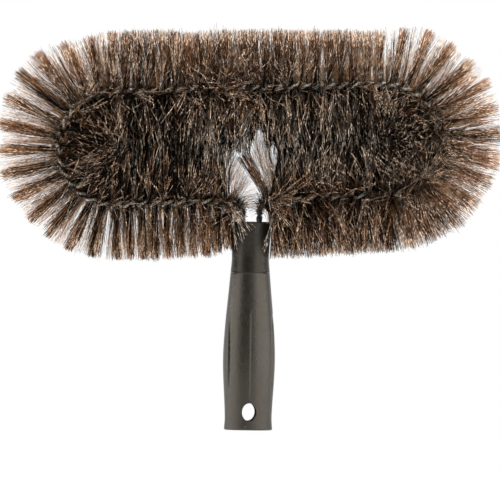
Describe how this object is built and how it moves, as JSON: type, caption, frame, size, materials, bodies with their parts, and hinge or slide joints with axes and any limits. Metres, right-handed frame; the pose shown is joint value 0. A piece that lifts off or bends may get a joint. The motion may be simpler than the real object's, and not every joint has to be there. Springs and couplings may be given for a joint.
{
  "type": "ceiling fan brush",
  "caption": "Ceiling fan brush: an oval loop of twisted-in-wire bristle on a moulded black plastic handle with a socket for an extension pole and a hole for hanging.",
  "frame": {"origin": "centre of the mouth of the pole socket, on the handle's axis", "axes": "+X along the width of the bristle loop, +Y away from the front of the brush, so that the front faces -Y, +Z along the handle's axis towards the loop"},
  "size_m": [0.3566, 0.084, 0.2911],
  "materials": {
    "black_plastic": "satin moulded polypropylene with a fine grain",
    "steel_wire": "drawn galvanised wire",
    "ferrule_steel": "plated sleeve",
    "bristle": "dark brown filaments with paler worn tips"
  },
  "bodies": {
    "root": {"grip": "black_plastic", "neck": "black_plastic", "ferrule_left": "ferrule_steel", "ferrule_right": "ferrule_steel", "core_wire_a": "steel_wire", "core_wire_b": "steel_wire", "bristle_turn_01": "bristle", "bristle_turn_02": "bristle", "bristle_turn_03": "bristle", "bristle_turn_04": "bristle", "bristle_turn_05": "bristle", "bristle_turn_06": "bristle", "bristle_turn_07": "bristle", "bristle_turn_08": "bristle", "bristle_turn_09": "bristle", "bristle_turn_10": "bristle", "bristle_turn_11": "bristle", "bristle_turn_12": "bristle", "bristle_turn_13": "bristle", "bristle_turn_14": "bristle", "bristle_turn_15": "bristle", "bristle_turn_16": "bristle", "bristle_turn_17": "bristle", "bristle_turn_18": "bristle", "bristle_turn_19": "bristle", "bristle_turn_20": "bristle", "bristle_turn_21": "bristle", "bristle_turn_22": "bristle", "bristle_turn_23": "bristle", "bristle_turn_24": "bristle", "bristle_turn_25": "bristle", "bristle_turn_26": "bristle", "bristle_turn_27": "bristle", "bristle_turn_28": "bristle", "bristle_turn_29": "bristle", "bristle_turn_30": "bristle", "bristle_turn_31": "bristle", "bristle_turn_32": "bristle", "bristle_turn_33": "bristle", "bristle_turn_34": "bristle", "bristle_turn_35": "bristle"}
  },
  "joints": []
}
